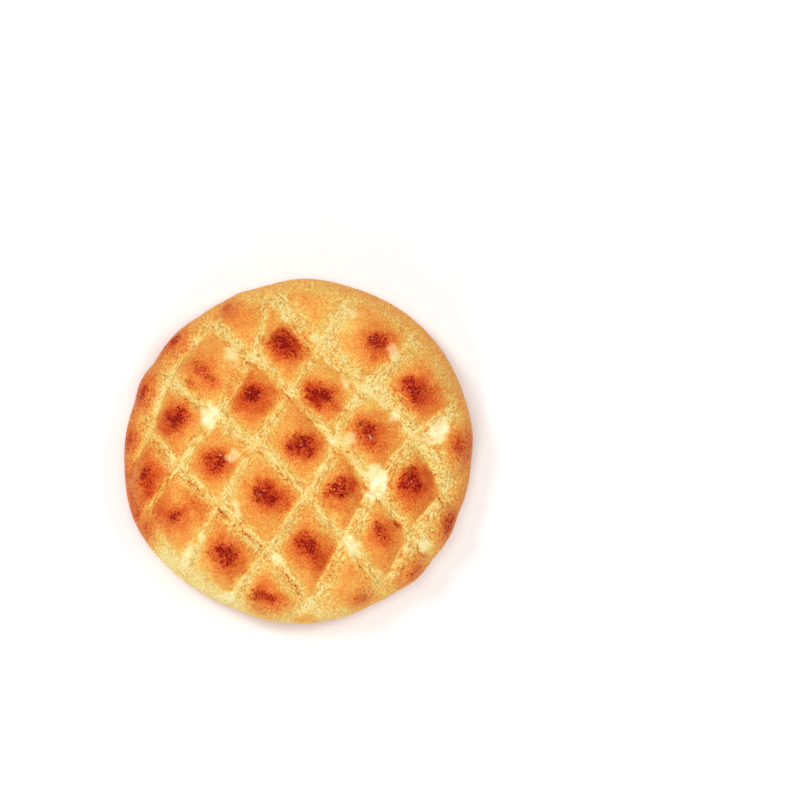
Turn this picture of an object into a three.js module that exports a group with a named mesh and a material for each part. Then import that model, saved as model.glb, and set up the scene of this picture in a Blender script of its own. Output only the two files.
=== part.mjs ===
// A honey cookie: a round, domed, soft cookie. Its top was scored in a lattice before baking,
// so it rose into rows of rounded pillows between shallow cuts.
//
// Millimetres, +Z up. The cookie rests on its flat base at z = 0, centred on the origin.
import * as THREE from 'three';
import { mergeVertices } from 'three/addons/utils/BufferGeometryUtils.js';

// The cookie without its pillows.
const cookieRadius = 49.4;
const domeHeight = 20.5;
const rimHeight = 6.5; // where the cookie is widest
const baseRadius = 45.8;
const domeShoulder = 0.72; // how far the top stays flat, as a share of the radius
const domeSide = 0.58; // how far the side stays steep, as a share of the dome's rise

// How much wider than a circle the outline is, in sixteen directions from +X turning to +Y.
const outlineShifts = [0, 0.5, 0.9, 0.5, 0.1, -0.45, -0.4, 0.45, 1, 2.4, 0.8, -0.5, -0.1, -0.8, -0.3, -0.5];

// The lattice of pillows and cuts.
const pillowRise = 3.3; // of a full pillow above the cuts beside it
const pillowRoundness = 0.9; // below 1 widens the pillows' tops
const cutSoftness = 0.15; // rounds the bottom of a cut, as a share of the pillow beside it
const rowAngle = THREE.MathUtils.degToRad(-46);
const columnAngle = THREE.MathUtils.degToRad(58);
const stationSpacing = 20;

// Each cut runs across the cookie. Its five numbers are its distances from the middle,
// at stations 40 mm before it, 20 mm before it, at it, and 20 and 40 mm past it.
const rowCuts = [
  [-45, -46, -47, -46, -45],
  [-24, -22, -25, -25.5, -20.5],
  [-7, -9.2, -9, -7.8, -6],
  [12.7, 9.3, 6.8, 8, 8.5],
  [25, 27.2, 26.3, 25.6, 29],
  [45, 45, 46, 46, 46],
];
const columnCuts = [
  [-54, -54, -56, -56, -58],
  [-37, -39, -42.5, -41, -50],
  [-28, -26.6, -24.3, -26, -35],
  [-10.5, -11.5, -12, -11, -11.5],
  [5.5, 7.2, 8, 4.3, 9.5],
  [24.8, 24.2, 22.8, 24.6, 32],
  [41, 40.4, 39, 43, 47],
  [54, 54, 54, 56, 56],
];

// How far each pillow rose, as a share of the full rise: a line of the table is a row.
const pillowShares = [
  [0, 0.5, 0.7, 0.9, 1, 0.9, 0.5],
  [0.6, 0.75, 1, 1, 0.95, 1, 0.8],
  [0.8, 0.85, 0.95, 1.05, 1, 0.95, 0.85],
  [0.8, 1, 0.95, 1, 1.05, 0.8, 0.6],
  [0.6, 0.9, 0.85, 1, 0.9, 0.7, 0.4],
];

// Relief fades away down the side, between these heights.
const fadeBottom = 3.5;
const fadeTop = 17;

// Slow unevenness of the risen dough: depth, wavelengths along X and Y, and phases.
const swells = [
  { depth: 0.35, waveX: 61, waveY: 47, phaseX: 0.6, phaseY: 2.1 },
  { depth: 0.25, waveX: 29, waveY: 37, phaseX: 1.9, phaseY: 0.4 },
];

// How far apart the mesh's points lie, on the crust and on the flat base.
const topEdge = 1.6;
const baseEdge = 6;

// Smooth value at a place among evenly spaced ones: a Catmull-Rom curve with straight ends.
function between(values, place) {
  const last = values.length - 1;
  const before = 2 * values[0] - values[1];
  const after = 2 * values[last] - values[last - 1];
  const posts = [before, ...values, after];
  const clamped = THREE.MathUtils.clamp(place, 0, last);
  const k = Math.min(Math.floor(clamped), last - 1);
  const t = clamped - k;
  const [p0, p1, p2, p3] = posts.slice(k, k + 4);
  const startSlope = (p2 - p0) / 2;
  const endSlope = (p3 - p1) / 2;
  const square = 3 * (p2 - p1) - 2 * startSlope - endSlope;
  const cube = startSlope + endSlope - 2 * (p2 - p1);
  return p1 + t * (startSlope + t * (square + t * cube));
}

// Which strip between two cuts a place lies in, and how far across that strip it is, 0 to 1.
function findStrip(cuts, along, across) {
  const place = along / stationSpacing + 2;
  for (let strip = 0; strip < cuts.length - 1; strip++) {
    const low = between(cuts[strip], place);
    const high = between(cuts[strip + 1], place);
    if (across >= low && across < high) {
      return { strip, part: (across - low) / (high - low) };
    }
  }
  return null;
}

// Height of the pillows over the cuts, at a place seen from above.
function pillowHeight(x, y) {
  const rowAlong = x * Math.cos(rowAngle) + y * Math.sin(rowAngle);
  const rowAcross = x * Math.sin(rowAngle) - y * Math.cos(rowAngle);
  const columnAlong = x * Math.cos(columnAngle) + y * Math.sin(columnAngle);
  const columnAcross = x * Math.sin(columnAngle) - y * Math.cos(columnAngle);
  const row = findStrip(rowCuts, rowAlong, rowAcross);
  const column = findStrip(columnCuts, columnAlong, columnAcross);
  if (!row || !column) return 0;
  const crown = archHeight(row.part) * archHeight(column.part);
  return pillowRise * pillowShares[row.strip][column.strip] * crown ** pillowRoundness;
}

// An arch from 0 up to 1 and back over one strip, with a rounded start at either cut.
function archHeight(part) {
  const rounded = (value) => Math.hypot(value, cutSoftness) - cutSoftness;
  return rounded(Math.sin(Math.PI * part)) / rounded(1);
}

function swellHeight(x, y) {
  return swells.reduce((sum, s) => {
    const waveX = Math.sin((2 * Math.PI * x) / s.waveX + s.phaseX);
    const waveY = Math.sin((2 * Math.PI * y) / s.waveY + s.phaseY);
    return sum + s.depth * waveX * waveY;
  }, 0);
}

// How much wider than a circle the outline is, at an angle from 0 to a full turn.
function outlineShift(angle) {
  const count = outlineShifts.length;
  const wrapped = [outlineShifts[count - 1], ...outlineShifts, outlineShifts[0], outlineShifts[1]];
  return between(wrapped, 1 + (angle / (2 * Math.PI)) * count);
}

// Half of the cookie's section, from the middle of the top to the edge of the base: X is the
// radius, Y the height.
function makeSection() {
  const section = new THREE.CurvePath();
  section.add(
    new THREE.CubicBezierCurve(
      new THREE.Vector2(0, domeHeight),
      new THREE.Vector2(cookieRadius * domeShoulder, domeHeight),
      new THREE.Vector2(cookieRadius, rimHeight + (domeHeight - rimHeight) * domeSide),
      new THREE.Vector2(cookieRadius, rimHeight),
    ),
  );
  const footWidth = cookieRadius - baseRadius;
  section.add(
    new THREE.EllipseCurve(baseRadius, rimHeight, footWidth, rimHeight, 0, -Math.PI / 2, true),
  );
  return section;
}

// One ring of points of the crust, raised by the pillows along the section's normal.
function crustRing(point, tangent, phase) {
  const count = point.x < topEdge / 2 ? 1 : Math.round((2 * Math.PI * point.x) / topEdge);
  const fade = THREE.MathUtils.smoothstep(point.y, fadeBottom, fadeTop);
  return Array.from({ length: count }, (_, i) => {
    const angle = (2 * Math.PI * (i + phase)) / count;
    const radius = point.x + (outlineShift(angle) * point.x) / cookieRadius;
    const x = radius * Math.cos(angle);
    const y = radius * Math.sin(angle);
    const lift = fade * (pillowHeight(x, y) + swellHeight(x, y));
    const outward = -tangent.y * lift;
    return {
      angle,
      position: new THREE.Vector3(
        x + outward * Math.cos(angle),
        y + outward * Math.sin(angle),
        Math.max(0, point.y + tangent.x * lift),
      ),
    };
  });
}

// One ring of points of the flat base.
function baseRing(radius, count, phase) {
  return Array.from({ length: count }, (_, i) => {
    const angle = (2 * Math.PI * (i + phase)) / count;
    const reach = radius + (outlineShift(angle) * radius) / cookieRadius;
    const position = new THREE.Vector3(reach * Math.cos(angle), reach * Math.sin(angle), 0);
    return { angle, position };
  });
}

// Triangles between two rings of any two counts, walking round both side by side.
function stitch(upper, lower, upperStart, lowerStart) {
  const turn = 2 * Math.PI;
  const nextAngle = (ring, i) => ring[(i + 1) % ring.length].angle + (i + 1 >= ring.length ? turn : 0);
  const triangles = [];
  let i = 0;
  let j = 0;
  while (i < upper.length || j < lower.length) {
    const a = upperStart + (i % upper.length);
    const b = lowerStart + (j % lower.length);
    const isUpperDone = i >= upper.length || upper.length === 1;
    const isLowerDone = j >= lower.length || lower.length === 1;
    if (isUpperDone && isLowerDone) break;
    const stepUpper = isLowerDone || (!isUpperDone && nextAngle(upper, i) < nextAngle(lower, j));
    if (stepUpper) {
      triangles.push(a, b, upperStart + ((i + 1) % upper.length));
      i++;
    } else {
      triangles.push(a, b, lowerStart + ((j + 1) % lower.length));
      j++;
    }
  }
  return triangles;
}

// The closed skin: rings down the crust, then rings across the base to its middle.
function makeCookieGeometry() {
  const section = makeSection();
  const steps = Math.round(section.getLength() / topEdge);
  const rings = [];
  for (let k = 0; k <= steps; k++) {
    const u = k / steps;
    rings.push(crustRing(section.getPointAt(u), section.getTangentAt(u), (k % 2) / 2));
  }
  let radius = baseRadius - baseEdge / 2;
  let count = Math.round(rings[rings.length - 1].length / 2);
  while (radius > baseEdge) {
    rings.push(baseRing(radius, count, 0));
    radius -= baseEdge;
    count = Math.min(count, Math.round((2 * Math.PI * radius) / baseEdge) + 6);
  }
  rings.push(baseRing(0, 1, 0));

  const positions = rings.flatMap((ring) => ring.flatMap((p) => p.position.toArray()));
  const index = [];
  let start = 0;
  for (let k = 0; k < rings.length - 1; k++) {
    const next = start + rings[k].length;
    index.push(...stitch(rings[k], rings[k + 1], start, next));
    start = next;
  }
  const geometry = new THREE.BufferGeometry();
  geometry.setAttribute('position', new THREE.Float32BufferAttribute(positions, 3));
  geometry.setIndex(index);
  return mergeVertices(geometry, 1e-4);
}

// Stands the geometry on z = 0 with the middle of its box over the origin.
function standOnBase(geometry) {
  geometry.computeBoundingBox();
  const middle = geometry.boundingBox.getCenter(new THREE.Vector3());
  geometry.translate(-middle.x, -middle.y, -geometry.boundingBox.min.z);
  geometry.computeVertexNormals();
  return geometry;
}

const crust = new THREE.MeshStandardMaterial({ color: 0xefa650, roughness: 0.5, metalness: 0 });

const cookie = new THREE.Mesh(standOnBase(makeCookieGeometry()), crust);
cookie.name = 'cookie';

const honeyCookie = new THREE.Group();
honeyCookie.add(cookie);

export default honeyCookie;
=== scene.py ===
# A honey cookie: round, domed and soft, scored in a lattice, brushed with egg and baked, so that
# it rose into rows of pillows with browned tops. It stands on a pale floor under soft lamps.
#
# The crust's mesh has the shape of the CAD solid, finer, and stands where the solid stands.
import math

import bpy
import numpy as np
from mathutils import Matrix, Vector, noise


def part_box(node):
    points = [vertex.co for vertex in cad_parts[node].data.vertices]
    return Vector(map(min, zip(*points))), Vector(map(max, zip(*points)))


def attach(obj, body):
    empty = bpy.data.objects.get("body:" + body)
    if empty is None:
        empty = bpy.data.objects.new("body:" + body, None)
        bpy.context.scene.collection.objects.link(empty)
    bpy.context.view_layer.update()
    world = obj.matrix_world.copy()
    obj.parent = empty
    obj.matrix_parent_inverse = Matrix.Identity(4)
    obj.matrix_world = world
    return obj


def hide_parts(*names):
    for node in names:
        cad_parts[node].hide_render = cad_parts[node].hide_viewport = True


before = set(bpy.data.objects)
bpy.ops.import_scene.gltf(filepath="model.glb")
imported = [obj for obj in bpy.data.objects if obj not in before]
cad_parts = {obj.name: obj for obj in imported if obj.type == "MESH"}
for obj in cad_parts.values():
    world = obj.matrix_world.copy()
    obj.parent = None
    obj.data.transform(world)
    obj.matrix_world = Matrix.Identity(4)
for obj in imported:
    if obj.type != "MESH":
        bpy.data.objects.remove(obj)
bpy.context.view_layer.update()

millimetre = 0.001
low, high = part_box("cookie")
sides = [round(side / millimetre, 1) for side in high - low]
print("frame loaded, the cookie's box is", sides, "mm")

# The crust's lengths are in millimetres and its angles in degrees. At the end, its shape is
# fitted to the solid's box, which is in metres.


def along(values, place):
    # Smooth value at places among evenly spaced ones: a Catmull-Rom curve with straight ends.
    values = np.array(values, float)
    last = len(values) - 1
    posts = np.concatenate([[2 * values[0] - values[1]], values, [2 * values[-1] - values[-2]]])
    place = np.clip(place, 0, last)
    k = np.minimum(np.floor(place).astype(int), last - 1)
    t = place - k
    p0, p1, p2, p3 = posts[k], posts[k + 1], posts[k + 2], posts[k + 3]
    startSlope, endSlope = (p2 - p0) / 2, (p3 - p1) / 2
    square = 3 * (p2 - p1) - 2 * startSlope - endSlope
    cube = startSlope + endSlope - 2 * (p2 - p1)
    return p1 + t * (startSlope + t * (square + t * cube))


def smooth(value, start, end):
    t = np.clip((value - start) / (end - start), 0, 1)
    return t * t * (3 - 2 * t)


def roughness(points, size, seed):
    # Even noise over the points, from about -1 to 1. Each seed reads another part of it.
    shift = Vector((seed * 13.7, seed * 7.1, seed * 3.3))
    return np.array([noise.noise(Vector(point) / size + shift) for point in points])


dough = {
    "radius": 49.4,
    "domeHeight": 20.5,
    "rimHeight": 6.5,  # where the cookie is widest
    "baseRadius": 45.8,
    "domeShoulder": 0.72,  # how far the top stays flat
    "domeSide": 0.58,  # how far the side stays steep
    # How much wider than a circle the outline is, in sixteen directions from +X turning to +Y.
    "outline": [
        0, 0.5, 0.9, 0.5, 0.1, -0.45, -0.4, 0.45,
        1, 2.4, 0.8, -0.5, -0.1, -0.8, -0.3, -0.5,
    ],
    "topEdge": 0.37,  # length of a triangle's edge on the top
    "topFrom": 15,  # the height from which up triangles are that small
    "sideEdge": 0.52,
    "baseEdge": 1.3,
    "baseGrowth": 1.25,  # how much longer edges get from ring to ring inward
    "ringStep": 0.87,  # from ring to ring, as a share of an edge
    "domeSteps": 800,  # points that the section is drawn with
    "footSteps": 200,
}


def makeSection():
    # Half of the cookie's section, from the middle of the top to the edge of the base.
    radius, height, rim = dough["radius"], dough["domeHeight"], dough["rimHeight"]
    posts = np.array([
        (0, height),
        (radius * dough["domeShoulder"], height),
        (radius, rim + (height - rim) * dough["domeSide"]),
        (radius, rim),
    ])
    t = np.linspace(0, 1, dough["domeSteps"])[:, None]
    s = 1 - t
    weights = (s ** 3, 3 * s * s * t, 3 * s * t * t, t ** 3)
    dome = sum(weight * post for weight, post in zip(weights, posts))
    turn = np.linspace(0, np.pi / 2, dough["footSteps"])[1:]
    foot = dough["baseRadius"] + (radius - dough["baseRadius"]) * np.cos(turn)
    return np.vstack([dome, np.column_stack([foot, rim * (1 - np.sin(turn))])])


def around(values, angle):
    # Smooth value at angles, among values evenly spaced round a full turn from +X.
    count = len(values)
    return along(values[-1:] + values + values[:2], 1 + angle / (2 * math.pi) % 1 * count)


def makeRings():
    # Rings of points: radius, height, the section's direction there, and the count of points.
    section = makeSection()
    steps = np.hypot(*np.diff(section, axis=0).T)
    length = np.concatenate([[0], np.cumsum(steps)])
    direction = np.gradient(section, length, axis=0)
    rings, s = [], 0.0
    while s < length[-1]:
        radius, height = [np.interp(s, length, section[:, i]) for i in range(2)]
        slope = [np.interp(s, length, direction[:, i]) for i in range(2)]
        share = float(smooth(height, dough["rimHeight"], dough["topFrom"]))
        edge = dough["sideEdge"] + (dough["topEdge"] - dough["sideEdge"]) * share
        count = 1 if radius < edge / 2 else round(2 * math.pi * radius / edge)
        rings.append((radius, height, *slope, count))
        s += edge * dough["ringStep"]
    radius, edge = dough["baseRadius"], dough["sideEdge"]
    while radius > edge:
        rings.append((radius, 0, -1, 0, round(2 * math.pi * radius / edge)))
        edge = min(edge * dough["baseGrowth"], dough["baseEdge"])
        radius -= edge * dough["ringStep"]
    rings.append((0, 0, -1, 0, 1))
    return rings


def stitch(rings):
    # Triangles between neighbouring rings, walking round both side by side.
    triangles, start = [], 0
    counts = [ring[4] for ring in rings]

    def turns(k):
        # Where a ring's next points lie, as shares of a turn. Every other ring is half a step on.
        count = counts[k]
        if count == 1:
            return np.array([])
        return np.arange(1, count + 1) / count + 0.5 * (k % 2) / count

    for k in range(len(rings) - 1):
        a, b = counts[k], counts[k + 1]
        nextA, nextB = turns(k), turns(k + 1)
        order = np.argsort(np.concatenate([nextA, nextB]), kind="stable")
        stepA = order < len(nextA)
        i, j = np.cumsum(stepA) - stepA, np.cumsum(~stepA) - ~stepA
        upper, lower = start + i % a, start + a + j % b
        onward = np.where(stepA, start + (i + 1) % a, start + a + (j + 1) % b)
        triangles.append(np.column_stack([upper, lower, onward]))
        start += a
    return np.vstack(triangles)


lattice = {
    "rise": 3.3,  # of a full pillow
    "roundness": 0.9,  # below 1 widens the pillows' tops
    "cutSoftness": 0.09,  # rounds the bottom of a cut, as a share of the pillow beside it
    "rowAngle": -46,
    "columnAngle": 58,
    "stationSpacing": 20,
    "sway": 0.35,  # how far a cut strays from its curve
    "swaySize": 4,
    # Each cut's distances from the middle at five stations along it, as in the solid.
    "rowCuts": [
        [-45, -46, -47, -46, -45],
        [-24, -22, -25, -25.5, -20.5],
        [-7, -9.2, -9, -7.8, -6],
        [12.7, 9.3, 6.8, 8, 8.5],
        [25, 27.2, 26.3, 25.6, 29],
        [45, 45, 46, 46, 46],
    ],
    "columnCuts": [
        [-54, -54, -56, -56, -58],
        [-37, -39, -42.5, -41, -50],
        [-28, -26.6, -24.3, -26, -35],
        [-10.5, -11.5, -12, -11, -11.5],
        [5.5, 7.2, 8, 4.3, 9.5],
        [24.8, 24.2, 22.8, 24.6, 32],
        [41, 40.4, 39, 43, 47],
        [54, 54, 54, 56, 56],
    ],
    # How far each pillow rose: a line is a row.
    "shares": [
        [0, 0.5, 0.7, 0.9, 1, 0.9, 0.5],
        [0.6, 0.75, 1, 1, 0.95, 1, 0.8],
        [0.8, 0.85, 0.95, 1.05, 1, 0.95, 0.85],
        [0.8, 1, 0.95, 1, 1.05, 0.8, 0.6],
        [0.6, 0.9, 0.85, 1, 0.9, 0.7, 0.4],
    ],
    "fadeBottom": 3.5,  # heights between which the relief fades down the side
    "fadeTop": 17,
}

swells = [
    {"depth": 0.35, "waveX": 61, "waveY": 47, "phaseX": 0.6, "phaseY": 2.1},
    {"depth": 0.25, "waveX": 29, "waveY": 37, "phaseX": 1.9, "phaseY": 0.4},
]


def findStrip(cuts, angle, x, y):
    # The strip between two cuts that each point lies in, how far across the strip it is, its
    # distance along and across from the middle, and how far it is from each cut.
    turn = math.radians(angle)
    length = x * math.cos(turn) + y * math.sin(turn)
    across = x * math.sin(turn) - y * math.cos(turn)
    lines = np.array([along(cut, length / lattice["stationSpacing"] + 2) for cut in cuts])
    stations = np.column_stack([length, np.full(len(x), angle), 0 * x])
    lines += lattice["sway"] * roughness(stations, lattice["swaySize"], seed=12)
    strip = np.clip((across >= lines).sum(0) - 1, 0, len(cuts) - 2)
    point = np.arange(len(x))
    start, end = lines[strip, point], lines[strip + 1, point]
    part = np.clip((across - start) / (end - start), 0, 1)
    inside = lines[1:-1]  # the first and last lines are soft ends, and not cuts
    return {
        "strip": strip, "part": part, "length": length, "across": across,
        "fromCuts": across - inside,
    }


def arch(part):
    softness = lattice["cutSoftness"]
    rounded = lambda value: np.hypot(value, softness) - softness
    return rounded(np.sin(np.pi * part)) / rounded(1)


# Browned tops: place, width and height as seen from above, turn, how dark each one is, and how
# far its orange halo reaches.
brownedTops = [
    (-36.0, 31.8, 5.2, 3.0, 40, 0.75, 4.5),
    (-44.5, 17.3, 6.0, 3.0, 65, 0.8, 4),
    (-48.8, 3.8, 3.6, 2.0, 80, 0.6, 3),
    (-21.1, 41.0, 5.2, 2.4, 32, 0.65, 3),
    (-28.0, 23.2, 7.0, 4.6, -48, 0.5, 3.5),
    (-25.2, 20.4, 3.4, 2.2, -40, 0.75, 2),
    (-31.3, 19.2, 3.4, 1.3, -32, 0.6, 1.5),
    (-34.6, 9.1, 6.8, 6.4, 10, 0.95, 3.4),
    (-44.2, -7.3, 6.2, 4.7, 80, 0.9, 5),
    (-4.0, 30.4, 10.2, 8.2, -10, 1.0, 3),
    (-12.9, 16.0, 6.0, 5.2, -20, 0.9, 6.5),
    (-23.5, -3.4, 7.4, 6.4, -40, 0.9, 3),
    (-35.6, -18.9, 4.6, 4.0, 70, 0.85, 3),
    (5.0, 15.6, 9.0, 8.0, -35, 1.0, 3.4),
    (0.9, 1.3, 9.6, 7.2, 0, 1.0, 2.4),
    (-9.7, -12.3, 9.0, 7.2, -35, 0.95, 3),
    (-21.5, -29.7, 9.2, 7.2, 0, 1.0, 4),
    (19.6, 4.8, 9.2, 6.4, -50, 0.95, 4.4),
    (11.7, -11.0, 9.2, 7.0, 5, 1.0, 4),
    (2.2, -27.2, 9.6, 7.2, -42, 0.95, 3.4),
    (-10.0, -41.9, 8.2, 5.4, -28, 0.95, 4.5),
    (31.3, -9.4, 9.2, 8.0, 80, 1.0, 4),
    (23.2, -23.1, 7.8, 3.6, -58, 0.8, 3),
    (27.6, -20.8, 3.0, 1.4, -28, 0.7, 1.5),
    (17.7, -42.2, 5.0, 3.0, 15, 0.7, 3),
    (0.9, -48.8, 4.2, 1.6, 0, 0.5, 3),
    (31.8, -35.0, 6.4, 3.2, 42, 0.7, 5),
    (42.7, -20.6, 6.4, 4.4, 60, 0.85, 4),
    (22.5, 30.9, 6.6, 5.4, -20, 0.9, 4),
    (33.0, 17.1, 9.0, 7.2, -30, 1.0, 4),
    (45.6, 1.7, 6.4, 4.4, 85, 0.85, 4),
]


# Pools of dried egg wash: place, width and height as seen from above, turn, and how much each
# one shines. They shine, and they also carry a painted highlight: a pale cream colour laid over
# the crust.
washAndHighlightPools = [
    (21.7, -9.3, 10.6, 6.8, 78, 1),
    (-25.3, 9.5, 7.6, 5.2, 74, 1),
    (14.7, -26.9, 6.9, 4.6, 118, 0.7),
    (-18.8, 26.6, 6.2, 4.6, 118, 0.7),
    (-32, -30.3, 8.8, 3.2, 63, 0.5),
    (14.6, 3.3, 5.2, 3.8, 48, 0.6),
    (9.1, 2.7, 3.5, 2.4, 121, 0.4),
    (13, 19.4, 6.8, 3, 109, 0.65),
    (-17.5, -16.3, 6.5, 3, 110, 0.65),
    (-18.5, -1.6, 5, 3.2, 32, 0.6),
    (-17.8, 3.8, 3.8, 2, 135, 0.4),
    (-20.3, -41.7, 6.2, 3.5, -2, 0.5),
    (-6.3, -30.9, 5.5, 3.2, 132, 0.5),
    (-27.4, -24.7, 3.5, 2.4, 67, 0.45),
    (4.3, 31.6, 3.8, 2.4, 120, 0.4),
    (39.4, 5.6, 8, 5.1, 70, 0.8),
    (27.2, 9.4, 5.2, 3.2, 50, 0.5),
    (26.8, 27.8, 6.2, 3.5, 115, 0.6),
    (14.8, 38.8, 6.2, 3.2, 160, 0.5),
    (35.6, -26.4, 5.5, 3.2, 60, 0.6),
]


# Where the crust is browner or paler than its pillows: place, width and height as seen from above,
# turn, and how much.
tonePatches = [
    (-42.5, -17, 14, 11, 70, 0.3),
    (-26, -18.5, 17, 8, -32, 0.18),
    (-41, 6, 10, 20, -10, 0.16),
    (-36, 25, 8, 6, 40, 0.1),
    (-16, 38, 12, 7, 0, 0.1),
    (-3, -15, 14, 8, 10, 0.16),
    (-13, 13.5, 12, 10, 0, 0.1),
    (-30, -13, 10, 6, -46, 0.12),
    (-5, -34, 22, 4, -52, 0.1),
    (-27, -33, 12, 8, -46, -0.15),
    (-40, 13, 5, 7, 0, -0.12),
    (7.5, -33.5, 7, 9, -30, 0.2),
    (5, 13.5, 6, 5, 0, 0.13),
    (-38, -30, 12, 7, -45, -0.15),
    (-14, -38, 7, 6, 0, -0.18),
    (19, 14, 12, 12, 0, -0.12),
    (-6.5, 8, 10, 8, 0, -0.1),
    (-8.5, 20.5, 7, 7, 0, -0.12),
    (5.7, 21, 10, 5, -30, -0.12),
    (7, -8, 9, 10, -30, -0.1),
    (38, 12, 9, 7, 30, 0.12),
    (14, 36, 10, 6, 10, -0.12),
]


# How the edges of halos, pools and patches fade: where each starts and ends, with 0 at its
# middle and 1 at its edge, and how ragged it is.
edges = {
    "haloFade": (0.25, 1.15),
    "haloWander": 0.25,
    "haloLeast": 0.4,  # of a halo, round a top that is hardly browned
    "haloSlide": (0.4, -0.5),  # how far a halo sits from its top
    "haloRaggedness": 2.6,  # the size of its ragged parts
    "washAndHighlightFade": (0.3, 1.3),
    "washAndHighlightWander": 0.6,
    "washAndHighlightRaggedness": 1.9,
    "tonePatchFade": (0.2, 1.5),
    "tonePatchWander": 0.2,
}

# The dark strokes of a browned top fan out from a point beside its middle.
strokes = {
    "shift": 0.38,  # of that point from the middle, as a share of the top's size
    "turn": 2.4,  # from one top's point to the next one's, in radians
    "core": 0.3,  # within this radius, the strokes run together
    "apart": 3.1,  # keeps one top's strokes unlike the next one's
    "bend": 0.3,  # how much they change outward
}


def awayFrom(oval, x, y, extra=0, slide=(0, 0)):
    # Along and across an oval from its middle, and how far out of it: its edge is 1.
    middleX, middleY, width, height, turn = oval[:5]
    turn = math.radians(turn)
    x, y = x - middleX - slide[0], y - middleY - slide[1]
    u = x * math.cos(turn) + y * math.sin(turn)
    v = y * math.cos(turn) - x * math.sin(turn)
    return u, v, np.hypot(u / (width / 2 + extra), v / (height / 2 + extra))


def placeTops(x, y, wander):
    # For each point: how near it is to a browned top, 1 at its middle and 0 at its edge and
    # negative past it, how dark that top is, how much halo there is, and the way to the point
    # from where that top's strokes start.
    nearest, dark, halo = np.full(len(x), float(faraway)), np.zeros(len(x)), np.zeros(len(x))
    way = np.zeros((len(x), 3))
    for number, top in enumerate(brownedTops):
        darkness, reach = top[5:]
        u, v, far = awayFrom(top, x, y)
        haloFar = awayFrom(top, x, y, reach, edges["haloSlide"])[2] + edges["haloWander"] * wander
        strength = edges["haloLeast"] + (1 - edges["haloLeast"]) * darkness
        halo = np.maximum(halo, strength * (1 - smooth(haloFar, *edges["haloFade"])))
        closer = 1 - far > nearest
        nearest, dark = np.where(closer, 1 - far, nearest), np.where(closer, darkness, dark)
        turn = strokes["turn"] * number
        u = u - strokes["shift"] * top[2] * math.cos(turn)
        v = v - strokes["shift"] * top[3] * math.sin(turn)
        length = np.maximum(np.hypot(u, v), strokes["core"])
        unit = np.column_stack([u / length, v / length, np.zeros(len(x))])
        unit[:, 2] = number * strokes["apart"] + strokes["bend"] * far
        way[closer] = unit[closer]
    return nearest, dark, halo, way


def placeWashAndHighlight(x, y, wander):
    # How much each point shines, from 0 to 1: egg-wash gloss, and a painted highlight.
    wash = np.zeros(len(x))
    for pool in washAndHighlightPools:
        far = awayFrom(pool, x, y)[2] + edges["washAndHighlightWander"] * wander
        wash = np.maximum(wash, pool[5] * (1 - smooth(far, *edges["washAndHighlightFade"])))
    return wash


def placeTonePatches(x, y, wander):
    # How much browner or paler each point is than its pillow.
    warmth = np.zeros(len(x))
    for patch in tonePatches:
        far = awayFrom(patch, x, y)[2] + edges["tonePatchWander"] * wander
        warmth += patch[5] * (1 - smooth(far, *edges["tonePatchFade"]))
    return warmth


relief = {
    "creaseDepth": 0.22,
    "creaseWidth": 1.05,
    "sideBlend": 1.5,  # where a row's cut and a column's are about as near, both tell
    "crackDepth": 0.3,
    "crackWidth": 0.26,
    "crackOffset": 1.5,  # from the cut to the crack that runs beside it
    "crackSway": (0.9, 3.1),  # how far it strays from there, over what length
    "crackJag": (0.5, 0.9),
    "crackLength": 8,
    "crackEnd": (0.02, 0.2),  # the noise values between which it comes and goes
    "crackApart": 9.0,  # keeps one cut's cracks unlike the next one's
    "crumbDepth": 0.07,  # of the grain on the pale slopes
    "crumbSize": 0.8,
    "crumbFiner": (0.6, 2.2),  # a second grain: its share, and how much finer it is
    "crumbOnCaps": 0.45,  # the share of the grain that a cap has
    "crumbUnderWash": 0.6,  # how much of it egg wash covers
    "blisterDepth": 0.1,  # of the roughness on the browned tops
    "blisterSize": 0.75,
    "washFill": 0.65,  # how far egg wash levels the slopes under it
    "washLevel": 0.3,  # the level that it fills up to, as a share of a full pillow
    "shown": (5, 14),  # heights between which creases and cracks fade in
    "aboveRim": (5, 11),  # heights between which browned tops and wash fade in
}

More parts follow.
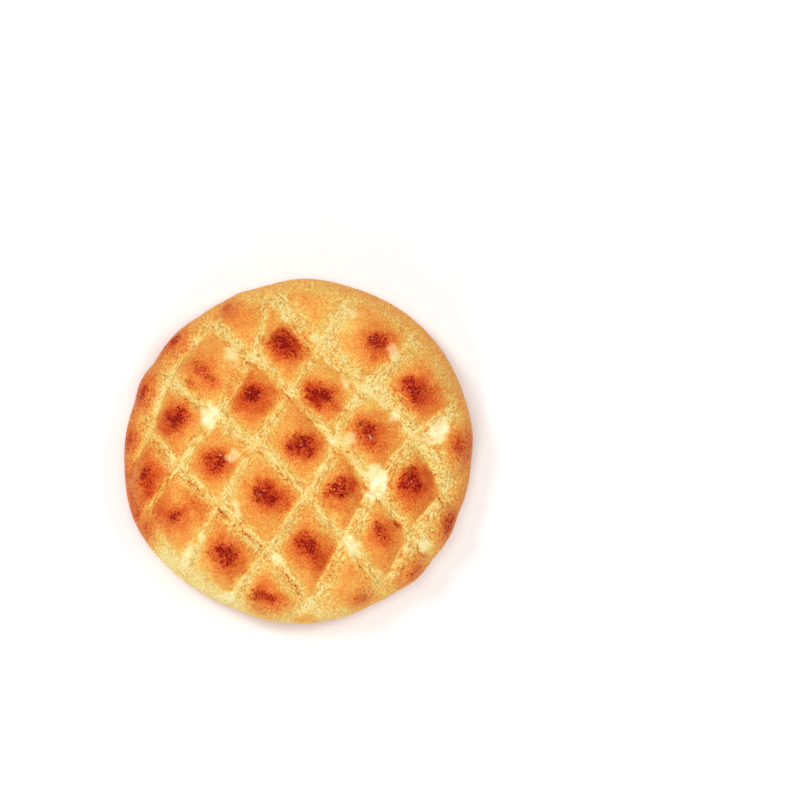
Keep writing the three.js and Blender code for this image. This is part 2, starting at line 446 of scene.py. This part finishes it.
crustTone = {
    "slope": 0.047,  # browning of the pale slopes beside the cuts
    "cap": 0.315,  # how much more a pillow's cap has
    # Where a cap starts and ends, across its row and across its column, as shares of the strip.
    "acrossRow": [(0.0, 0.2), (0.73, 0.96)],
    "acrossColumn": [(0.05, 0.27), (0.82, 1.1)],
    "skew": 0.1,  # how much a cap's sides lean from its cuts
    "skewAbout": (0.35, 0.45),  # the place in the strips that they lean about
    "outward": 0.0035,  # how far a cap slides outward, per millimetre from the middle; the pale slopes this leaves facing the middle are partly less browning, partly a painted highlight
    "waveSize": 5,  # of the slow waves in the browning and in the edges of the caps
    "capWave": 0.04,
    "capJag": 0.05,
    "jagSize": 1.7,
    "capEnd": (41, 47),  # radii between which caps give way to the rim
    "capEndShare": 0.85,  # how much of a cap that takes away
    "capEndWave": 2,
    "topEdge": (-0.35, 0.4),  # where a browned top fades in, with 0 at its edge, 1 at its middle
    "bandEnd": (43, 49),  # radii between which pale bands get weaker
    "bandEndShare": 0.5,
    "wave": 0.04,  # slow unevenness all over
    "uneven": (0.3, 14),  # unevenness from cap to cap, and its size
    "blotch": (0.07, 5),  # unevenness within a cap
    "halo": 0.3,  # deeper orange round a browned top
    # Browning of the rim in sixteen directions, from +X turning to +Y.
    "rim": [
        0.34, 0.28, 0.28, 0.26, 0.22, 0.2, 0.32, 0.4,
        0.42, 0.46, 0.03, 0.01, 0.06, 0.12, 0.2, 0.32,
    ],
    "rimStart": (43.5, 48.5),  # radii between which the rim's own browning sets in
    "rimSway": (0.1, 9),  # how far its changes stray round the rim, and the size of that
    "foot": 0.24,  # browning all round, low on the side
    "footShare": 0.75,
    "footFrom": (9, 3),  # heights between which it sets in
    "side": 0.14,  # more browning towards the foot
    "sideFrom": (9, 1),
    "creaseShare": 0.6,  # how much less these patches tell in a crease
    "base": 0.47,
    "baseWave": 0.05,
    "baseBlotch": (0.06, 16),
    "basePaler": 0.12,  # how much less the base has near its edge
    "baseEdge": (36, 46),
    "baseEdgeSway": (3, 9),
    "baseBand": 0.3,  # how much the base has the grain of a pale band
}

faraway = -9  # stands for a point that no browned top is near


def placeCaps(row, column, radius, points, wander):
    # How much each point belongs to the browned cap of a pillow, from 0 to 1.
    jag = crustTone["capJag"] * roughness(points, crustTone["jagSize"], seed=3)
    waveB = roughness(points, crustTone["waveSize"], seed=2)
    outward, wave = crustTone["outward"], crustTone["capWave"]
    # Caps slide outward, so the slopes facing the middle stay pale: partly less browning, partly a
    # painted highlight.
    a = row["part"] - outward * row["across"] + wave * wander + jag
    b = column["part"] - outward * column["across"] + wave * waveB + jag
    (startA, fullA), (partA, endA) = crustTone["acrossRow"]
    (startB, fullB), (partB, endB) = crustTone["acrossColumn"]
    lean, (aboutA, aboutB) = crustTone["skew"], crustTone["skewAbout"]
    cap = smooth(a, startA, fullA) * (1 - smooth(a - lean * (b - aboutB), partA, endA))
    cap *= smooth(b - lean * (a - aboutA), startB, fullB) * (1 - smooth(b, partB, endB))
    nearRim = smooth(radius + crustTone["capEndWave"] * wander, *crustTone["capEnd"])
    return cap * (1 - crustTone["capEndShare"] * nearRim)


def placeCracks(row):
    # How much each point lies in a crack beside a row's cut, from 0 to 1.
    crack = np.zeros(len(row["length"]))
    (sway, swaySize), (jag, jagSize) = relief["crackSway"], relief["crackJag"]
    for k, away in enumerate(row["fromCuts"]):
        number = np.full(len(away), k * relief["crackApart"])
        line = np.column_stack([row["length"], number, np.zeros(len(away))])
        offset = relief["crackOffset"] + sway * roughness(line, swaySize, seed=4)
        offset = offset + jag * roughness(line, jagSize, seed=5)
        present = smooth(roughness(line, relief["crackLength"], seed=6), *relief["crackEnd"])
        depth = np.exp(-(((away - offset) / relief["crackWidth"]) ** 2))
        crack = np.maximum(crack, present * depth)
    return crack


def brownCrust(points, radius, angle, cap, halo, wander):
    # Browning of the top and the side: the pale slopes, the caps, their halos, and the rim.
    height = points[:, 2]
    (sway, swaySize), (uneven, unevenSize) = crustTone["rimSway"], crustTone["uneven"]
    blotch, blotchSize = crustTone["blotch"]
    rim = around(crustTone["rim"], angle + sway * roughness(points, swaySize, seed=16))
    atFoot = smooth(height, *crustTone["footFrom"])
    rim += (crustTone["foot"] - rim) * crustTone["footShare"] * atFoot
    atRim = smooth(radius, *crustTone["rimStart"])
    amount = cap * (1 + uneven * roughness(points, unevenSize, seed=10))
    tone = crustTone["slope"] + crustTone["cap"] * amount + crustTone["wave"] * wander
    tone += blotch * cap * roughness(points, blotchSize, seed=15)
    tone = tone * (1 - atRim) + rim * atRim
    atSide = smooth(height, *crustTone["sideFrom"])
    return tone + crustTone["halo"] * halo + crustTone["side"] * atSide


def brownBase(points, radius, wander):
    (blotch, size), (sway, swaySize) = crustTone["baseBlotch"], crustTone["baseEdgeSway"]
    tone = crustTone["base"] + crustTone["baseWave"] * wander
    tone = tone + blotch * roughness(points, size, seed=17)
    swayed = radius + sway * roughness(points, swaySize, seed=18)
    return tone - crustTone["basePaler"] * smooth(swayed, *crustTone["baseEdge"])


def makeCrustMesh():
    rings = makeRings()
    counts = np.array([ring[4] for ring in rings])
    radius, height, slopeX, slopeY = [
        np.repeat([ring[i] for ring in rings], counts) for i in range(4)
    ]
    number = np.concatenate([np.arange(count) for count in counts])
    phase = np.repeat(np.arange(len(rings)) % 2 / 2, counts)
    angle = 2 * np.pi * (number + phase) / np.repeat(counts, counts)
    reach = radius + around(dough["outline"], angle) * radius / dough["radius"]
    x, y = reach * np.cos(angle), reach * np.sin(angle)
    isTop = ~((slopeY == 0) & (slopeX == -1))
    points = np.column_stack([x, y, height])
    wander = roughness(points, crustTone["waveSize"], seed=1)

    row = findStrip(lattice["rowCuts"], lattice["rowAngle"], x, y)
    column = findStrip(lattice["columnCuts"], lattice["columnAngle"], x, y)
    shares = np.array(lattice["shares"])[row["strip"], column["strip"]]
    crown = arch(row["part"]) * arch(column["part"])
    pillow = lattice["rise"] * shares * crown ** lattice["roundness"]
    swell = sum(
        s["depth"] * np.sin(2 * np.pi * x / s["waveX"] + s["phaseX"])
        * np.sin(2 * np.pi * y / s["waveY"] + s["phaseY"]) for s in swells
    )
    fade = smooth(height, lattice["fadeBottom"], lattice["fadeTop"])

    # Where the caps, the creases of the cuts and the cracks beside them are.
    cap = placeCaps(row, column, radius, points, wander)
    fromRow, fromColumn = np.abs(row["fromCuts"]).min(0), np.abs(column["fromCuts"]).min(0)
    crease = np.exp(-((np.minimum(fromRow, fromColumn) / relief["creaseWidth"]) ** 2))
    # 1 where a row's cut is the nearer one, and 0 where a column's is.
    rowSide = smooth(fromColumn - fromRow, -relief["sideBlend"], relief["sideBlend"])
    crack = placeCracks(row)
    shown = smooth(height, *relief["shown"])

    # Browned tops are placed as seen from above, on the risen pillows.
    outward = -slopeY * fade * (pillow + swell)
    near, dark, halo, way = placeTops(
        x + outward * np.cos(angle), y + outward * np.sin(angle),
        roughness(points, edges["haloRaggedness"], seed=11),
    )
    aboveRim = smooth(height, *relief["aboveRim"])
    near, halo = near * aboveRim + faraway * (1 - aboveRim), halo * aboveRim
    wash = placeWashAndHighlight(x, y, roughness(points, edges["washAndHighlightRaggedness"], seed=14)) * aboveRim
    top = smooth(near, *crustTone["topEdge"])
    band = (1 - cap) * (1 - top)
    band *= 1 - crustTone["bandEndShare"] * smooth(radius, *crustTone["bandEnd"])

    # How far the crust rises along the section's normal.
    lift = fade * (pillow + swell)
    lift += relief["washFill"] * wash * (relief["washLevel"] * lattice["rise"] * fade - lift)
    lift -= shown * relief["creaseDepth"] * crease
    lift -= shown * relief["crackDepth"] * crack * band
    share, finer = relief["crumbFiner"]
    grain = roughness(points, relief["crumbSize"], seed=7)
    grain = grain + share * roughness(points, relief["crumbSize"] / finer, seed=8)
    onCaps = relief["crumbOnCaps"]
    grain = (onCaps + (1 - onCaps) * band) * (1 - relief["crumbUnderWash"] * wash) * grain * isTop
    lift += relief["crumbDepth"] * grain
    lift += relief["blisterDepth"] * top * roughness(points, relief["blisterSize"], seed=9)

    outward = -slopeY * lift
    x, y = x + outward * np.cos(angle), y + outward * np.sin(angle)
    z = np.where(isTop, np.maximum(0, height + slopeX * lift), 0)

    tone = brownCrust(points, radius, angle, cap, halo, wander)
    tone += placeTonePatches(x, y, wander) * (1 - crustTone["creaseShare"] * crease)
    mesh = bpy.data.meshes.new("honeyCookieCrust")
    mesh.from_pydata(fitToBox(np.column_stack([x, y, z])).tolist(), [], stitch(rings).tolist())
    mesh.shade_smooth()
    layers = {
        "browning": np.where(isTop, tone, brownBase(points, radius, wander)),
        "top": np.where(isTop, near, faraway),
        "dark": dark,
        "band": np.where(isTop, band, crustTone["baseBand"]),
        "crease": crease * shown,
        "rowSide": rowSide,
        "crack": crack * band * shown,
        "wash": wash,
    }
    for name, values in layers.items():
        layer = mesh.attributes.new(name, "FLOAT", "POINT")
        layer.data.foreach_set("value", values.astype(np.float32))
    layer = mesh.attributes.new("way", "FLOAT_VECTOR", "POINT")
    layer.data.foreach_set("vector", way.astype(np.float32).ravel())
    return mesh


def fitToBox(points):
    # Fits the points, in millimetres, to the solid's box.
    lowest, highest = points.min(0), points.max(0)
    share = (points - lowest) / (highest - lowest)
    return np.array(low) + share * np.array(high - low)


class Wire:
    # A node's output: an expression on it adds Math nodes.
    def __init__(self, maker, socket):
        self.maker, self.socket = maker, socket

    def math(self, operation, first, second):
        return self.maker.node("ShaderNodeMath", {"operation": operation}, {0: first, 1: second})

    def __add__(self, other):
        return self.math("ADD", self, other)

    def __radd__(self, other):
        return self.math("ADD", other, self)

    def __sub__(self, other):
        return self.math("SUBTRACT", self, other)

    def __rsub__(self, other):
        return self.math("SUBTRACT", other, self)

    def __mul__(self, other):
        return self.math("MULTIPLY", self, other)

    def __rmul__(self, other):
        return self.math("MULTIPLY", other, self)

    def ridge(self, width):
        # Thin lines where an even noise crosses its middle.
        return 1 - self.math("ABSOLUTE", self - 0.5, 0).smooth(0, width)

    def smooth(self, start, end):
        return self.maker.node(
            "ShaderNodeMapRange", {"interpolation_type": "SMOOTHSTEP"}, {0: self, 1: start, 2: end}
        )


class Finish:
    # Makes one material. node() adds any node: its settings are set first, then its sockets.
    def __init__(self, name):
        self.material = bpy.data.materials.new(name)
        self.material.use_nodes = True
        self.tree = self.material.node_tree
        self.tree.nodes.clear()

    def node(self, kind, settings=None, sockets=None, output=0):
        made = self.tree.nodes.new(kind)
        for name, value in (settings or {}).items():
            if name == "stops":
                ramp = made.color_ramp
                ramp.interpolation = "LINEAR"
                while len(ramp.elements) < len(value):
                    ramp.elements.new(0.5)
                for element, (position, colour) in zip(ramp.elements, value):
                    element.position, element.color = position, colour
            else:
                setattr(made, name, value)
        for name, value in (sockets or {}).items():
            if isinstance(value, Wire):
                self.tree.links.new(value.socket, made.inputs[name])
            else:
                made.inputs[name].default_value = value
        return Wire(self, made.outputs[output]) if made.outputs else made

    def layer(self, name, output="Fac"):
        return self.node("ShaderNodeAttribute", {"attribute_name": name}, output=output)

    def noise(self, vector, scale, detail=2, roughness=0.5, distortion=0, output="Fac"):
        sockets = {"Vector": vector, "Scale": scale, "Detail": detail, "Roughness": roughness}
        return self.node("ShaderNodeTexNoise", {}, {**sockets, "Distortion": distortion}, output)


def colour(red, green, blue):
    # A colour as picked on a screen, 0 to 255, as the light it stands for.
    linear = lambda v: v / 12.92 if v <= 0.04045 else ((v + 0.055) / 1.055) ** 2.4
    return (*[linear(v / 255) for v in (red, green, blue)], 1)


crustFinish = {
    # From pale crumb, over golden and orange skin, to a scorched top.
    "stops": [
        (0.00, colour(255, 235, 160)),
        (0.07, colour(255, 222, 129)),
        (0.15, colour(253, 204, 103)),
        (0.25, colour(250, 182, 85)),
        (0.36, colour(246, 160, 72)),
        (0.47, colour(239, 136, 56)),
        (0.58, colour(229, 112, 42)),
        (0.68, colour(218, 92, 30)),
        (0.78, colour(206, 69, 18)),
        (0.86, colour(193, 50, 8)),
        (0.92, colour(175, 31, 2)),
        (1.00, colour(140, 10, 1)),
    ],
    # The pale cream colour and its share are a painted highlight, laid over the crust in the
    # egg-wash pools.
    "paintedHighlightColour": colour(255, 246, 200),
    "paintedHighlightShare": 0.55,  # how much painted highlight covers the crust's own colour in the pools
    "capRoughness": 0.6,
    "crumbRoughness": 0.42,
    "patchRoughness": 0.2,
    "washRoughness": -0.1,
    "reliefDepth": 0.38,
    # Noises over the crust: scale, detail, roughness and distortion.
    "fine": (1300, 3, 0.65),
    "speck": (2100, 1, 0.5),
    "patch": (260, 3, 0.55),
    "clump": (430, 2),
    "pit": (1300, 2),
    "bead": (900, 1),
    "streak": (8, 3, 0.6, 0.3),
    "wrinkle": (620, 3, 0.6),
    "wrinkleShape": (2.8, 0.75, 1.5),  # long beside the cut, and narrow
    "wrinkleWidth": 0.07,
    "crackle": 760,  # scale of the small scales on the pale slopes
    "crackleBend": (800, 2),
    "crackleBendBy": 0.0014,
    "creaseSmooth": 0.6,  # how much fewer scales a crease has
}

# Where each noise or layer tells: not at all below the first number, fully above the second.
between = {
    "speck": (0.33, 0.67),
    "scaly": (0.4, 0.58),  # patches of scales
    "scale": (0, 0.35),  # from the edge of a scale to its domed middle
    "gap": (0, 0.12),
    "gapBreaks": (0.4, 0.58),
    "wrinkled": (0.4, 0.6),
    "pit": (0.64, 0.72),
    "scorch": (-0.25, 0.35),
    "stroke": (0.17, 0.38),
    "crackBreaks": (0.36, 0.56),
    "creasePale": (0.35, 0.6),
    "glazeAndPaintedHighlight": (0.5, 0.74),
    "pool": (0, 0.6),
    "bead": (0.68, 0.74),
    "beadOnTop": (-0.1, 0.4),
    "glintPatch": (0.5, 0.62),
    "glint": (0.42, 0.54),
}

# How much each thing browns the crust, and how far it stands out or, below 0, goes in.
# The darker tone of gaps, pits, wrinkles and cracks is partly browner crust and partly painted
# shade; the paler tone under egg wash is a painted highlight.
toneAndPaintedLightBy = {
    "patch": 0.15, "fine": 0.36, "fineOnBands": 0.06, "speck": 0.17, "gap": 0.26, "pit": 0.2,
    "wrinkle": 0.32, "crack": 0.5, "crease": -0.04, "wash": -0.22,
    "scorch": 0.12, "stroke": 0.13, "strokeSpeck": 0.2,
}
heightBy = {
    "fine": 0.45, "fineOnBands": 0.5, "speck": 0.36, "speckOnBands": 0.12, "scale": 0.5,
    "gap": -0.3, "pit": -0.4, "wrinkle": -0.5, "crack": -0.5, "streak": 1.2,
    "wash": -0.8,  # the share of all relief that egg wash levels
}
# What makes a browned top's edge ragged, and what breaks up its strokes and the egg wash with its
# painted highlight.
topEdgeBy = {"patch": 1.3, "streak": 0.4, "fine": 0.7}
strokeBy = {"near": 0.5, "clump": 2.1, "streak": 1.6, "fine": 0.9}
glazeAndHighlightBy = {"fine": 0.7, "speck": 0.3, "wash": 0.2}

gloss = {
    "dough": 1.48,  # index of refraction
    "doughLevel": 0.15,
    "coat": 2.0,
    "coatRoughness": 0.2,
    "onWash": 0.55,  # coat on the pools of egg wash
    "onBands": 0.3,  # coat on the glints of the pale bands
}


def makeCrustFinish():
    make = Finish("crustFinish")
    place = make.node("ShaderNodeTexCoord", output="Object")
    browning, near, dark = make.layer("browning"), make.layer("top"), make.layer("dark")
    band, crease, crack = make.layer("band"), make.layer("crease"), make.layer("crack")
    rowSide, wash = make.layer("rowSide"), make.layer("wash")
    way = make.layer("way", "Vector")

    fine = make.noise(place, *crustFinish["fine"])
    speck = make.noise(place, *crustFinish["speck"]).smooth(*between["speck"])
    patch = make.noise(place, *crustFinish["patch"])
    clump = make.noise(place, *crustFinish["clump"])
    streak = make.noise(way, *crustFinish["streak"])

    # Crackled skin on the pale slopes: small domed scales with fine gaps between them.
    bend = make.noise(place, *crustFinish["crackleBend"], output="Color")
    bendBy = (crustFinish["crackleBendBy"],) * 3
    bent = make.node(
        "ShaderNodeVectorMath", {"operation": "MULTIPLY_ADD"}, {0: bend, 1: bendBy, 2: place}
    )
    toEdge = make.node("ShaderNodeTexVoronoi", {"feature": "DISTANCE_TO_EDGE"}, {
        "Vector": bent, "Scale": crustFinish["crackle"],
    }, "Distance")
    scaly = band * patch.smooth(*between["scaly"]) * (1 - crustFinish["creaseSmooth"] * crease)
    scale = toEdge.smooth(*between["scale"]) * scaly
    gap = (1 - toEdge.smooth(*between["gap"])) * fine.smooth(*between["gapBreaks"]) * scaly

    # Wrinkles along the nearest cut, where there are no scales, and pits.
    wrinkle = 0
    for angle, side in ((lattice["rowAngle"], rowSide), (lattice["columnAngle"], 1 - rowSide)):
        turned = make.node("ShaderNodeMapping", {"vector_type": "TEXTURE"}, {
            "Vector": place, "Rotation": (0, 0, math.radians(angle)),
            "Scale": crustFinish["wrinkleShape"],
        })
        lines = make.noise(turned, *crustFinish["wrinkle"]).ridge(crustFinish["wrinkleWidth"])
        wrinkle = wrinkle + lines * side
    wrinkle = wrinkle * (1 - patch).smooth(*between["wrinkled"]) * band
    pit = make.noise(place, *crustFinish["pit"]).smooth(*between["pit"]) * band

    # The browned tops: ragged at their edges, with dark strokes inside.
    edge = near + (patch - 0.5) * topEdgeBy["patch"] + (streak - 0.5) * topEdgeBy["streak"]
    edge = edge + (fine - 0.5) * topEdgeBy["fine"]
    scorch = edge.smooth(*between["scorch"]) * dark
    stroke = near * strokeBy["near"] + (clump - 0.5) * strokeBy["clump"]
    stroke = stroke + (streak - 0.5) * strokeBy["streak"] + (fine - 0.5) * strokeBy["fine"]
    stroke = stroke.smooth(*between["stroke"]) * scorch

    tone = browning + (patch - 0.5) * toneAndPaintedLightBy["patch"]
    tone = tone + (fine - 0.5) * (toneAndPaintedLightBy["fine"] + toneAndPaintedLightBy["fineOnBands"] * band)
    tone = tone + (speck - 0.5) * toneAndPaintedLightBy["speck"]
    # Gaps, pits, wrinkles and cracks are darker where they go in: partly browner crust, partly
    # painted shade.
    tone = tone + gap * toneAndPaintedLightBy["gap"] + pit * toneAndPaintedLightBy["pit"]
    tone = tone + wrinkle * toneAndPaintedLightBy["wrinkle"]
    tone = tone + crack * fine.smooth(*between["crackBreaks"]) * toneAndPaintedLightBy["crack"]
    tone = tone + crease * patch.smooth(*between["creasePale"]) * toneAndPaintedLightBy["crease"]
    # Egg wash makes the tone paler: a painted highlight.
    tone = tone + wash * toneAndPaintedLightBy["wash"] + scorch * toneAndPaintedLightBy["scorch"]
    tone = tone + stroke * (toneAndPaintedLightBy["stroke"] + toneAndPaintedLightBy["strokeSpeck"] * speck)
    paint = make.node("ShaderNodeValToRGB", {"stops": crustFinish["stops"]}, {0: tone})

    # Egg wash: mottled pools that shine and carry a painted highlight, pale cream mixed into the
    # crust's colour, and small shining beads on the browned tops.
    glazeAndPaintedHighlight = fine * glazeAndHighlightBy["fine"] + speck * glazeAndHighlightBy["speck"] + wash * glazeAndHighlightBy["wash"]
    glazeAndPaintedHighlight = glazeAndPaintedHighlight.smooth(*between["glazeAndPaintedHighlight"]) * wash.smooth(*between["pool"])
    bead = make.noise(place, *crustFinish["bead"]).smooth(*between["bead"])
    bead = bead * near.smooth(*between["beadOnTop"])
    # The pale cream mixed into the crust's colour here is a painted highlight.
    paint = make.node("ShaderNodeMix", {"data_type": "RGBA"}, {
        "Factor": glazeAndPaintedHighlight * crustFinish["paintedHighlightShare"], 6: paint, 7: crustFinish["paintedHighlightColour"],
    }, 2)

    glint = band * patch.smooth(*between["glintPatch"]) * fine.smooth(*between["glint"])
    crumbier = crustFinish["crumbRoughness"] - crustFinish["capRoughness"]
    rough = crustFinish["capRoughness"] + crumbier * band
    rough = rough + (patch - 0.5) * crustFinish["patchRoughness"]
    rough = rough + wash * crustFinish["washRoughness"]
    height = (fine - 0.5) * (heightBy["fine"] + heightBy["fineOnBands"] * band)
    height = height + (speck - 0.5) * (heightBy["speck"] + heightBy["speckOnBands"] * band)
    height = height + scale * heightBy["scale"] + gap * heightBy["gap"] + pit * heightBy["pit"]
    height = height + wrinkle * heightBy["wrinkle"] + crack * heightBy["crack"]
    height = height + (streak - 0.5) * scorch * heightBy["streak"]
    height = height * (1 + heightBy["wash"] * wash)
    bump = make.node("ShaderNodeBump", {}, {
        "Strength": 1, "Distance": crustFinish["reliefDepth"] * millimetre, "Height": height,
    })
    shader = make.node("ShaderNodeBsdfPrincipled", {}, {
        "Base Color": paint, "Roughness": rough, "Normal": bump,
        "IOR": gloss["dough"], "Specular IOR Level": gloss["doughLevel"],
        "Coat Roughness": gloss["coatRoughness"], "Coat IOR": gloss["coat"],
        "Coat Weight": gloss["onWash"] * glazeAndPaintedHighlight + gloss["onBands"] * glint + bead,
    })
    make.node("ShaderNodeOutputMaterial", {}, {"Surface": shader})
    return make.material


crustMesh = makeCrustMesh()
crustMesh.materials.append(makeCrustFinish())
crust = bpy.data.objects.new("honeyCookieCrust", crustMesh)
bpy.context.scene.collection.objects.link(crust)
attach(crust, "root")
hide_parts("cookie")
print("crust made,", len(crustMesh.polygons), "triangles")

studio = {
    "floorSize": 4.0,
    "floorColour": (0.98, 0.98, 0.98, 1),
    "skyColour": (1.0, 0.99, 0.97, 1),
    "skyStrength": 0.29,
    "floorRoughness": (0.7, 0.1),  # least, and how much more in places
    # Soft lamps: name, bearing from +X, angle above the floor, distance, size, and power.
    "lamps": [
        ("lampTop", 90, 87, 1.2, 0.8, 6.0),
        ("lampLeft", 145, 50, 1.1, 0.35, 3.4),
        ("lampRight", 20, 50, 1.1, 0.35, 2.1),
        ("lampFront", 256, 28, 1.1, 0.35, 3.0),
    ],
    "lens": 150,
    "sensor": 36,
    "frameWidth": 0.2292,  # what the picture shows across, at the cookie
    "elevation": 86.5,
    "aim": (0.0292, 0.0143),  # the picture's middle, right of and above the cookie's
    "clip": (0.01, 20),
}


def makeFloor():
    finish = Finish("floorFinish")
    place = finish.node("ShaderNodeTexCoord", output="Object")
    least, more = studio["floorRoughness"]
    rough = least + more * finish.noise(place, 3, 2)
    shader = finish.node("ShaderNodeBsdfPrincipled", {}, {
        "Base Color": studio["floorColour"], "Roughness": rough, "Specular IOR Level": 0.2,
    })
    finish.node("ShaderNodeOutputMaterial", {}, {"Surface": shader})
    half = studio["floorSize"] / 2
    signs = [(-1, -1), (1, -1), (1, 1), (-1, 1)]
    corners = [(half * signX, half * signY, low.z) for signX, signY in signs]
    mesh = bpy.data.meshes.new("floor")
    mesh.from_pydata(corners, [], [(0, 1, 2, 3)])
    mesh.materials.append(finish.material)
    floor = bpy.data.objects.new("floor", mesh)
    bpy.context.scene.collection.objects.link(floor)


def makeLamps(middle):
    for name, bearing, height, distance, size, power in studio["lamps"]:
        light = bpy.data.lights.new(name, "AREA")
        light.shape, light.size, light.energy = "DISK", size, power
        bearing, height = math.radians(bearing), math.radians(height)
        flat = math.cos(height)
        way = Vector((flat * math.cos(bearing), flat * math.sin(bearing), math.sin(height)))
        holder = bpy.data.objects.new(name, light)
        holder.location = middle + way * distance
        holder.rotation_euler = (-way).to_track_quat("-Z", "Y").to_euler()
        bpy.context.scene.collection.objects.link(holder)
    world = bpy.data.worlds.new("studioSky")
    world.use_nodes = True
    sky = world.node_tree.nodes["Background"]
    sky.inputs["Color"].default_value = studio["skyColour"]
    sky.inputs["Strength"].default_value = studio["skyStrength"]
    bpy.context.scene.world = world


def makeCamera(middle):
    camera = bpy.data.cameras.new("camera")
    camera.lens, camera.sensor_width = studio["lens"], studio["sensor"]
    camera.clip_start, camera.clip_end = studio["clip"]
    tilt = math.radians(90 - studio["elevation"])
    distance = studio["frameWidth"] * studio["lens"] / studio["sensor"]
    right, up = studio["aim"]
    upward = Vector((0, math.cos(tilt), math.sin(tilt)))
    back = Vector((0, -math.sin(tilt), math.cos(tilt)))
    holder = bpy.data.objects.new("camera", camera)
    holder.location = middle + Vector((right, 0, 0)) + up * upward + distance * back
    holder.rotation_euler = (tilt, 0, 0)
    bpy.context.scene.collection.objects.link(holder)
    bpy.context.scene.camera = holder


middle = (low + high) / 2
makeFloor()
makeLamps(middle)
makeCamera(middle)
bpy.context.scene.view_settings.view_transform = "Standard"
print("floor, lamps and camera made")
